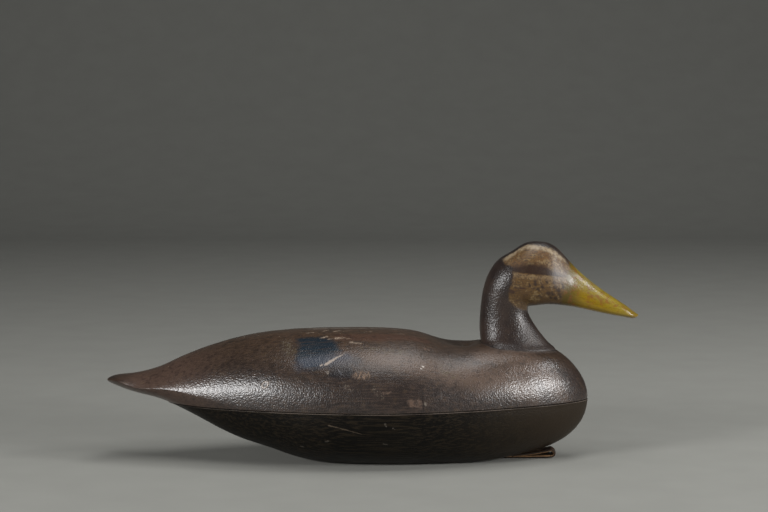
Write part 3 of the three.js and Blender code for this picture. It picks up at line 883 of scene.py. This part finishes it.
# %% Masks and coats
def mask(tree, *parts, operation="MULTIPLY"):
    """How far something covers, from 0 to 1: the product of its parts, or what another operation makes of
    them. A part is a wire, a number, or a pattern with the two values between which it goes smoothly from 0
    to 1. Two more numbers after those are what it goes from and to in place of 0 and 1."""
    result = None
    for part in parts:
        if isinstance(part, tuple):
            part = add(tree, "MapRange", part, interpolation_type="SMOOTHSTEP")
        result = part if result is None else add(tree, "Math", [result, part], operation=operation)
    return result


def coats(tree, colour, *layers):
    """Lays coats over a ground colour: each is sRGB hex or a wire, followed by the parts of its mask."""
    for coat, *parts in layers:
        over = linear(coat) if isinstance(coat, str) else coat
        colour = add(tree, "Mix", [mask(tree, *parts), colour, over], data_type="RGBA")
    return colour


def plus(tree, total, *parts):
    """A total, and each pattern times its weight added to it."""
    for pattern, weight in parts:
        total = add(tree, "Math", [pattern, weight, total], operation="MULTIPLY_ADD")
    return total


def ragged(tree, gap, pattern, wander_mm):
    """The distance to a mark with its edge moved in and out by a pattern, by half of wander_mm each way."""
    moved = plus(tree, -wander_mm / 2, (pattern, wander_mm))
    return add(tree, "Math", [gap, moved], operation="ADD")


def in_grains(tree, place, sizes):
    """The place counted in a pattern's grains, whose sizes along the three axes are in millimetres."""
    return add(tree, "VectorMath", [place, tuple(1 / size for size in sizes)], operation="MULTIPLY")


# %% Patterns shared by the painted pieces
# Old oil paint keeps a satin sheen on the back and the head, and has gone nearly matt on the belly
OIL_PAINT = {"IOR": 1.5, "Specular IOR Level": 0.6}
DRY_OIL_PAINT = {"IOR": 1.5, "Specular IOR Level": 0.15}
STIPPLE_MM = 1.25
STROKE_MM = (35, 1.3, 1.3)
CLOUD_MM = 38
SPECK_MM = 4.2


def old_paint(tree, place, fields):
    """What every painted material reads: pimples, brush strokes, clouds and specks as patterns from 0 to 1,
    the place along the three axes and on the unrolled skin in millimetres, where the near side is, and the
    fields of its mesh by their names."""
    metres = add(tree, "UVMap", uv_map="surface")
    axes = {axis: add(tree, "SeparateXYZ", [place], out=axis.upper()) for axis in "xyz"}
    return SimpleNamespace(
        pimples=add(tree, "TexNoise", [place, 1 / STIPPLE_MM, 0.6, 0.5]),
        strokes=add(tree, "TexNoise", [in_grains(tree, place, STROKE_MM), 1.0, 3.0, 0.6]),
        cloud=add(tree, "TexNoise", [place, 1 / CLOUD_MM, 4.0, 0.6]),
        speck=add(tree, "TexNoise", [place, 1 / SPECK_MM, 4.0, 0.65]),
        place=place,
        unrolled=add(tree, "VectorMath", [metres, 1 / MM], operation="SCALE"),
        near=add(tree, "MapRange", [axes["y"], 1, -1]),
        **axes,
        **{field: add(tree, "Attribute", out="Fac", attribute_name=field) for field in fields},
    )


def stroke_gap(tree, paint, start, end, half_start, half_end):
    """How far a point of the skin lies outside a tapered stroke: the nearest place on its middle line is
    the start plus the clamped share of the way, by the dot product, and the half-width there is taken off
    the distance."""
    way = (end[0] - start[0], end[1] - start[1], 0)
    long = way[0] ** 2 + way[1] ** 2
    apart = add(tree, "VectorMath", [paint.unrolled, (*start, 0)], operation="SUBTRACT")
    along = add(tree, "VectorMath", [apart, way], operation="DOT_PRODUCT")
    share = add(tree, "Math", [along, 1 / long], operation="MULTIPLY", use_clamp=True)
    foot = add(tree, "VectorMath", [way, share], operation="SCALE")
    rest = add(tree, "VectorMath", [apart, foot], operation="SUBTRACT")
    distance = add(tree, "VectorMath", [rest], operation="LENGTH")
    half = add(tree, "MapRange", [share, 0, 1, half_start, half_end])
    return add(tree, "Math", [distance, half], operation="SUBTRACT")


print("patterns: stipple %.2f mm, strokes %d mm long" % (STIPPLE_MM, STROKE_MM[0]))


# %% The top coat of the back and sides
def top_coat(tree, paint):
    """Purple brown low down, warm umber above and on the tail, russet where the crest is rubbed, and paler on
    the shoulder, which hands take hold of, and along the back, partly as a painted sheen of the overhead
    light."""
    height = add(tree, "MapRange", [paint.z, 62, 108])
    clouded = add(tree, "Math", [height, paint.cloud], operation="ADD")
    return coats(
        tree,
        linear("#2d2420"),
        ("#3f3126", (clouded, 0.62, 1.35, 0, 0.85)),
        ("#524037", (paint.x, -110, -175, 0, 0.8)),
        ("#2c1f16", (paint.x, -198, -220, 0, 0.8)),
        ("#523c2c", (plus(tree, height, (paint.speck, 0.9)), 1.2, 1.62, 0, 0.7)),
        ("#523629", (ragged(tree, paint.russet, paint.speck, 9), 2, -4, 0, 0.6)),
        # Paler where hands have worn the paint, and partly a painted sheen along the overhead light's
        # reflection
        ("#645348", (ragged(tree, paint.rubbed, paint.cloud, 22), 8, -9, 0, 0.8)),
        ("#55443a", (paint.strokes, 0.46, 0.62, 0, 0.34)),
        ("#1d1613", (paint.strokes, 0.46, 0.34, 0, 0.35)),
        ("#594732", (paint.speck, 0.54, 0.66, 0, 0.22)),
        ("#171211", (paint.speck, 0.48, 0.36, 0, 0.38)),
    )


# %% The blue wing patch
def wing_patch(tree, paint, colour):
    """Deep blue with soft, uneven edges and a painted sheen of the overhead light in grey on its lower part,
    a darker line under it, and a near-black spot to its right."""
    thin = mask(tree, (paint.strokes, 0.72, 0.45, 0.45, 1))
    return coats(
        tree,
        colour,
        ("#1f2b35", (ragged(tree, paint.blue_haze, paint.speck, 7), 4, -4, 0, 0.45)),
        ("#0f222e", (ragged(tree, paint.wing_patch, paint.speck, 6), 3, -3.4, 0, 0.92), thin),
        # Painted sheen: grey where the overhead light is reflected on the patch's lower part
        ("#4b4e58", (ragged(tree, paint.bloom, paint.speck, 6), 4, -5, 0, 0.6), thin),
        ("#1c1416", (ragged(tree, paint.border, paint.speck, 2), 1.2, -0.8, 0, 0.5)),
        ("#13161c", (ragged(tree, paint.dark_spot, paint.speck, 3), 4, -3, 0, 0.7)),
    )


# %% Flakes, chips and scratches
RASP_MM = (0.9, 5, 5)


def knocks(tree, paint, colour):
    """Olive and pale flecks where the top coat is thin, rasp marks, and flakes, spots and dots down to the
    priming, with how bare each place is, so that it can be dull too."""
    flakes = ragged(tree, paint.flakes, paint.pimples, 3.4)
    spots = ragged(tree, paint.tan_spots, paint.pimples, 2.6)
    dots = ragged(tree, paint.pale_dots, paint.pimples, 1.6)
    hatched = ragged(tree, paint.hatched, paint.speck, 5)
    rasp = add(tree, "TexNoise", [in_grains(tree, paint.place, RASP_MM), 1.6, 2.0, 0.6])
    patchy = mask(tree, (paint.speck, 0.4, 0.6, 0.25, 1))

    flaked = mask(tree, (flakes, 0.9, -0.7, 0, 0.9), patchy, (paint.pimples, 0.4, 0.58, 0.25, 1))
    spotted = mask(tree, (spots, 0.7, -0.7, 0, 0.85), patchy)
    rasped = mask(tree, (hatched, 1, -2.5), (rasp, 0.48, 0.6, 0, 0.75))
    colour = coats(
        tree,
        colour,
        ("#4c4430", (paint.olive, 2, -5), (paint.speck, 0.46, 0.6, 0, 0.6)),
        ("#655b50", (paint.flecked, 1, -3), (paint.pimples, 0.54, 0.64, 0, 0.8)),
        ("#8c725c", rasped),
        ("#b5a18c", flaked),
        ("#5e4737", spotted),
        ("#80766c", (dots, 0.5, -0.5, 0, 0.8)),
    )
    return colour, mask(tree, flaked, spotted, rasped, operation="MAXIMUM")


def scratches(tree, paint, colour):
    """The long bare scratch over the wing patch with its tapering end, a fine line beside it, a grey line and
    a dark hairline on the flank, and the worn line along the crest, with how bare the scratch is."""
    stroke = stroke_gap(tree, paint, (-38, 64.6), (-22.8, 54.8), 1.35, 0.2)
    blob = stroke_gap(tree, paint, (-42.6, 65.2), (-41.4, 64.8), 0.5, 0.75)
    nearest = add(tree, "Math", [stroke, blob], operation="MINIMUM")
    bare = mask(tree, (ragged(tree, nearest, paint.pimples, 2.2), 0.45, -0.35, 0, 0.95), paint.near)
    fine_line = stroke_gap(tree, paint, (-29.2, 69), (-25.3, 76), 0, 0.15)
    grey_line = stroke_gap(tree, paint, (56.6, 82), (56.4, 88), 0.1, 0.3)
    hairline = stroke_gap(tree, paint, (41.3, 94.5), (41.8, 101.5), 0.2, 0.4)
    crest = stroke_gap(tree, paint, (-52, 0), (20, 0), 2.6, 1.2)
    crest = ragged(tree, ragged(tree, crest, paint.strokes, 9), paint.cloud, 8)
    colour = coats(
        tree,
        colour,
        ("#80756a", (crest, 2.4, -2, 0, 0.75), (paint.speck, 0.4, 0.56, 0.2, 1)),
        ("#6b6a70", (fine_line, 0.6, 0, 0, 0.5), paint.near),
        ("#5d5654", (grey_line, 0.6, 0, 0, 0.45), paint.near),
        ("#1d120e", (hairline, 0.6, 0, 0, 0.8), paint.near),
        ("#a3968b", bare),
    )
    return colour, bare


# %% Joints and lumps on the upper half
def joints(tree, paint, at_neck, colour):
    """A dark crack at the seam under a pale edge, which is rubbed and partly a painted highlight, and the
    line round the neck's foot, which the paint has filled except behind and at the very front, where its
    darkness is partly a painted shade under the neck's edge."""
    # Darkest behind and at the very front, where the dark joint line is also a painted shade under the neck's
    # edge
    open_and_shaded = mask(tree, (paint.x, 116, 104), (paint.x, 150, 153), operation="MAXIMUM")
    return coats(
        tree,
        colour,
        # The pale edge over the seam: rubbed paint, and partly a painted highlight
        ("#62574e", (paint.from_seam, 1.2, 0.3, 0, 0.35), (paint.cloud, 0.42, 0.6)),
        ("#0a0807", add(tree, "MapRange", [paint.from_seam, 0.3, 0.05])),
        ("#0d0a09", (at_neck, 0.9, 0.2), add(tree, "MapRange", [open_and_shaded, 0, 1, 0.12, 0.9])),
    )


def lumps_on_back(tree, paint, colour):
    """What looks like a plugged nail hole near the tail: a raised round rim about 5 mm across, pale as a
    painted highlight, with a painted shade at its edge, and two small raised dots of paint with painted
    glints, with the mask of what stands up."""
    to_disc = stroke_gap(tree, paint, (-88.7, 72.8), (-88.6, 72.8), 2.4, 2.4)
    to_ring = add(tree, "Math", [to_disc], operation="ABSOLUTE")
    # The pale rim is a painted highlight
    ring_highlight = mask(tree, (to_ring, 1.3, 0.2), paint.near)
    drop = stroke_gap(tree, paint, (41.7, 64.4), (41.8, 64.4), 0.4, 0.4)
    small_glint = stroke_gap(tree, paint, (40.2, 67.1), (40.3, 67.1), 0.1, 0.1)
    nearest = add(tree, "Math", [drop, small_glint], operation="MINIMUM")
    # Painted glints on two small raised dots of paint
    painted_glints = mask(tree, (nearest, 1.0, -0.2), paint.near)
    # A painted shade: a dark stroke just above the rim
    shade = stroke_gap(tree, paint, (-91.6, 69), (-85.4, 69.2), 0.8, 0.8)
    colour = coats(
        tree,
        colour,
        ("#1c1512", (shade, 0.8, -0.4, 0, 0.85)),
        ("#a79c93", ring_highlight, 0.8),
        ("#cfc7be", painted_glints, 0.9),
    )
    return colour, mask(tree, ring_highlight, painted_glints, operation="MAXIMUM")


# %% Paint of the back and sides
BACK_RELIEF_MM = 0.24


def paint_upper():
    """Stippled umber oil paint over priming, with its wing patch, knocks and joints."""
    material, tree, shader, place = begin("stippled umber oil paint on cedar", **OIL_PAINT)
    paint = old_paint(tree, place, upper_fields)
    at_neck = add(tree, "Math", [paint.from_neck], operation="ABSOLUTE")
    colour = wing_patch(tree, paint, top_coat(tree, paint))
    colour, flaked = knocks(tree, paint, colour)
    colour, bare = scratches(tree, paint, colour)
    colour = joints(tree, paint, at_neck, colour)
    colour, lumps = lumps_on_back(tree, paint, colour)
    round_neck = add(tree, "MapRange", [at_neck, 2.2, 1.2])
    dull = mask(tree, flaked, bare, round_neck, operation="MAXIMUM")

    # The stipple is drawn out in the middle of the back, where brush lines show instead
    middle = mask(tree, (paint.x, -45, 5), (paint.x, 125, 60))
    gloss = add(tree, "MapRange", [plus(tree, paint.cloud, (middle, 0.8)), 0.3, 1.4, 0.28, 0.38])
    rough = add(tree, "Mix", [dull, gloss, 0.7], data_type="FLOAT")
    pimples = mask(tree, paint.pimples, add(tree, "MapRange", [middle, 0, 1, 1, 0.85]))
    brushed = add(tree, "MapRange", [middle, 0, 1, 0.2, 0.6])
    height = plus(tree, pimples, (paint.strokes, brushed), (lumps, 0.9), (dull, -0.3))
    dress(tree, shader, colour, rough, height, BACK_RELIEF_MM)
    return material


body_upper.data.materials.append(paint_upper())
print("painted the back")


# %% Paint of the belly
BELLY_RELIEF_MM = 0.25
# How far above the planed bottom the pale line runs
PALE_LINE_MM = 0.7


def paint_lower():
    """Nearly black umber, drawn out lengthwise with a wide brush, and rubbed at the seam and the bottom. The
    pale rim at the seam is partly a painted highlight.
    """
    material, tree, shader, place = begin("brushed black umber oil paint on cedar", **DRY_OIL_PAINT)
    paint = old_paint(tree, place, lower_fields)
    spots = ragged(tree, paint.spots, paint.pimples, 2)
    to_scratch = stroke_gap(tree, paint, (-36, 117), (-8.5, 127.8), 0.35, 0.05)
    scratch = mask(tree, (ragged(tree, to_scratch, paint.speck, 1.4), 0.5, -0.2, 0, 0.75), paint.near)
    over_arris = add(tree, "Math", [paint.above_planed, -PALE_LINE_MM], operation="ADD")
    off_arris = add(tree, "Math", [over_arris], operation="ABSOLUTE")
    arris = mask(tree, (off_arris, 1.1, 0.2, 0, 0.75), (paint.strokes, 0.46, 0.6), (paint.x, -42, -27))
    planed = mask(tree, (paint.above_planed, 0, -1, 0, 0.55))
    colour = coats(
        tree,
        linear("#0b0907"),
        ("#342b21", (paint.x, 50, 165, 0, 0.75)),
        ("#15120d", (paint.cloud, 0.45, 0.65, 0, 0.4)),
        ("#2e261b", (paint.strokes, 0.46, 0.62, 0, 0.55)),
        ("#5c5042", scratch),
        ("#6b645b", (spots, 0.4, -0.4, 0, 0.4)),
        # The pale rim under the seam: rubbed paint, and partly a painted highlight on the proud edge
        ("#6c6158", (paint.from_seam, 0.9, 0.4, 0, 0.8), (paint.cloud, 0.34, 0.56, 0.25, 1)),
        ("#0a0807", add(tree, "MapRange", [paint.from_seam, 0.2, 0.05])),
        ("#2a231d", planed),
        ("#857c70", arris),
    )
    worn = mask(tree, arris, planed, scratch, operation="MAXIMUM")
    gloss = add(tree, "MapRange", [paint.cloud, 0.3, 0.7, 0.38, 0.5])
    rough = add(tree, "Mix", [worn, gloss, 0.75], data_type="FLOAT")
    height = plus(tree, paint.strokes, (paint.pimples, 0.6), (worn, -0.2))
    dress(tree, shader, colour, rough, height, BELLY_RELIEF_MM)
    return material


body_lower.data.materials.append(paint_lower())
print("painted the belly")

# %% [markdown]
# ## Face, neck and bill
# The neck and crown have the body's dark paint. The face is buff, laid thinly over brown and then streaked
# and spotted with a small brush, with a dark stripe through the eye whose lower edge is crisp. The bill is a
# warm olive yellow, rubbed to orange at the tip.

# %% The buff face
FACE_CLOUD_MM = 11


def face_paint(tree, paint, fine, wobble):
    """Buff over brown, golden at the brow, with small brush spots and the dark stripe through the eye. A
    painted highlight lies on the front of the brow and along the top of the cheek, and a painted shade
    towards the chin.
    """
    cloud = add(tree, "TexNoise", [paint.place, 1 / FACE_CLOUD_MM, 3.0, 0.6])
    spots = ragged(tree, paint.spots, paint.speck, 3)
    blots = ragged(tree, paint.blots, paint.speck, 1.2)
    low_edge = ragged(tree, paint.over_stripe_low, paint.speck, 0.8)
    up_edge = plus(tree, paint.under_stripe_up, (wobble, 1.2))
    return coats(
        tree,
        linear("#624822"),
        ("#553b1e", (cloud, 0.42, 0.58, 0, 0.7)),
        ("#6b4f2e", (paint.z, 158, 172, 0, 0.5)),
        ("#62431d", (paint.z, 160, 169), (cloud, 0.4, 0.62, 0, 0.75)),
        # A painted highlight: pale glare on the front of the brow
        ("#9c8c76", (paint.x, 146, 156), (paint.z, 161, 168), (paint.speck, 0.44, 0.58, 0, 0.6)),
        # A painted shade: darker towards the chin
        ("#4c3a22", (paint.z, 147, 134, 0, 0.6)),
        ("#46321f", (fine, 0.48, 0.62, 0, 0.75)),
        ("#86714f", (paint.speck, 0.52, 0.62, 0, 0.6)),
        ("#2c1c12", (spots, 1.3, -0.5, 0, 0.9)),
        ("#341e17", (blots, 0.8, -0.4, 0, 0.8)),
        # A paler line under the stripe, partly a painted highlight on the top of the cheek
        ("#7f694c", (low_edge, -0.4, -1.2), (low_edge, -6, -2.5, 0, 0.5)),
        ("#38271a", (paint.pimples, 0.52, 0.66, 0, 0.6)),
        ("#220d03", (low_edge, -0.4, 0.5, 0, 0.9), (up_edge, -3.0, 2.2), (paint.x, 161, 153, 0.6, 1)),
    )


# %% The bill
BILL_CLOUD_MM = 7


def bill_paint(tree, paint, fine, wobble):
    """Pale olive along the ridge, a deep yellow band below, brown where it meets the face, and orange at the
    tip."""
    ridge = add(tree, "MapRange", [paint.x, 165, 225, 166, 122])
    below_ridge = add(tree, "Math", [ridge, paint.z], operation="SUBTRACT")
    cloud = add(tree, "TexNoise", [paint.place, 1 / BILL_CLOUD_MM, 3.0, 0.6])
    on_side = mask(tree, (paint.x, 168, 178), (paint.x, 198, 184), (below_ridge, 16, 8))
    return coats(
        tree,
        linear("#8e7a27"),
        ("#77681c", (cloud, 0.42, 0.64, 0, 0.6)),
        ("#846a08", (plus(tree, below_ridge, (wobble, 1.5)), 6, 16)),
        ("#77704e", on_side, (paint.speck, 0.4, 0.56, 0.1, 0.6)),
        ("#5c4810", (fine, 0.5, 0.66, 0, 0.5)),
        ("#4c3d0b", (paint.x, 180, 164, 0, 0.9)),
        ("#7a4522", (paint.speck, 0.48, 0.6, 0, 0.6), (cloud, 0.44, 0.56)),
        ("#7e641f", (paint.x, 206, 222, 0, 0.7)),
    )


# %% Paint of the head
SMALL_STROKE_MM = (6, 0.9, 0.9)
SMALL_SPECK_MM = 2.4
HEAD_RELIEF_MM = 0.36
# How far the borders of the face and the bill wander, and how far inside the face its pale edge is
WOBBLE_MM = 3.0
PALE_EDGE_MM = 0.9


def paint_head():
    """Dark umber, buff and olive yellow oil paint on one block of wood."""
    material, tree, shader, place = begin("umber, buff and yellow oil paint on cedar", **OIL_PAINT)
    paint = old_paint(tree, place, head_fields)
    fine = add(tree, "TexNoise", [in_grains(tree, place, SMALL_STROKE_MM), 1.0, 3.0, 0.6])
    small_speck = add(tree, "TexNoise", [place, 1 / SMALL_SPECK_MM, 3.0, 0.65])
    wobble = plus(tree, -WOBBLE_MM / 2, (small_speck, WOBBLE_MM))
    to_face = add(tree, "Math", [paint.face, wobble], operation="ADD")
    to_bill = add(tree, "Math", [paint.bill, wobble], operation="ADD")
    on_face = mask(tree, (to_face, 1.2, -1.2))
    on_bill = mask(tree, (to_bill, 1.6, -1.6))
    at_foot = mask(tree, (paint.from_rim, 3.4, 1.4))
    border = add(tree, "Math", [to_face, PALE_EDGE_MM], operation="ADD")
    border = add(tree, "Math", [border], operation="ABSOLUTE")
    colour = coats(
        tree,
        linear("#271e1b"),
        ("#3e312a", (paint.cloud, 0.4, 0.65, 0, 0.7)),
        ("#46372d", (paint.speck, 0.52, 0.66, 0, 0.35)),
        # Darker at the foot, along the joint with the back: a painted shade
        ("#1a1412", at_foot, 0.8),
        (face_paint(tree, paint, fine, wobble), on_face),
        ("#a08f75", (border, 2.6, 0.5, 0, 0.8), (paint.z, 166, 173), (paint.speck, 0.36, 0.52, 0.3, 1)),
        (bill_paint(tree, paint, fine, wobble), on_bill),
    )
    painted = mask(tree, on_face, on_bill, operation="MAXIMUM")
    low_neck = mask(tree, (paint.z, 124, 108), (paint.x, 120, 131))
    rough = add(tree, "MapRange", [low_neck, 0, 1, 0.36, 0.48])
    bill_rough = mask(tree, (paint.x, 164, 169, 0.4, 0.28))
    for where, rough_there in [(painted, 0.44), (on_bill, bill_rough), (at_foot, 0.8)]:
        rough = add(tree, "Mix", [where, rough, rough_there], data_type="FLOAT")
    pimples = mask(tree, paint.pimples, add(tree, "MapRange", [painted, 0, 1, 1, 0.3]))
    dress(tree, shader, colour, rough, plus(tree, pimples, (fine, 0.25)), HEAD_RELIEF_MM)
    return material


head.data.materials.append(paint_head())
print("painted the head")

# %% [markdown]
# ## Strap leather
# Old harness leather has a matt, rubbed grain side. Its cut edges are fibrous, and this one has a painted
# highlight along its inner arris, where it is also rubbed, and a painted shade along its outer one. The end
# of the fold is darker, a painted shade. Creases cross the strap where it bends, and the oil has left it in
# patches.

# %% Leather of the line tie
PATCH_MM = 6
CREASE_MM = (0.9, 7, 1)
# Real pores are finer than 0.2 mm, and are drawn coarse enough to show
PORE_MM = 0.5
LEATHER_RELIEF_MM = 0.25
# Where the colour of the cut edge starts and where it is full, inwards from the side of the strap
CUT_EDGE_MM = (1.1, 0.3)


def strap_leather():
    """Vegetable tanned leather: brown, dry, creased across, with a painted shade at the end of the fold, and
    a cut edge with a painted highlight inside and a painted shade outside."""
    material, tree, shader, place = begin("dry strap leather", IOR=1.45)
    metres = add(tree, "UVMap", uv_map="surface")
    unrolled = add(tree, "VectorMath", [metres, 1 / MM], operation="SCALE")
    patches = add(tree, "TexNoise", [place, 1 / PATCH_MM, 4.0, 0.6])
    creases = add(tree, "TexNoise", [in_grains(tree, unrolled, CREASE_MM), 1.0, 3.0, 0.6])
    pores = add(tree, "TexVoronoi", [place, 1 / PORE_MM])
    from_middle = add(tree, "Attribute", out="Fac", attribute_name="edge")
    inner = add(tree, "Attribute", out="Fac", attribute_name="inner")
    along = add(tree, "SeparateXYZ", [place], out="X")
    edge_start, edge_full = (STRAP_WIDTH / 2 - inset for inset in CUT_EDGE_MM)
    cut_edge = mask(tree, (from_middle, edge_start, edge_full))
    colour = coats(
        tree,
        linear("#4a3219"),
        ("#281a11", (patches, 0.42, 0.62, 0, 0.8)),
        # Painted highlight on the inner arris of the cut edge, and painted shade on the outer one
        ("#8a6946", cut_edge, (inner, 0, 0.5, 0, 0.9)),
        ("#1f130a", cut_edge, (inner, 0.3, -0.2, 0, 0.9)),
        # A painted shade on the end of the fold
        ("#2c1b0e", (along, 150, 155, 0, 0.7)),
        ("#1c120c", (creases, 0.5, 0.66, 0, 0.7)),
    )
    rough = add(tree, "MapRange", [patches, 0.3, 0.7, 0.5, 0.8])
    dress(tree, shader, colour, rough, plus(tree, creases, (pores, 0.25)), LEATHER_RELIEF_MM)
    return material


line_tie.data.materials.append(strap_leather())
print("finished the leather")
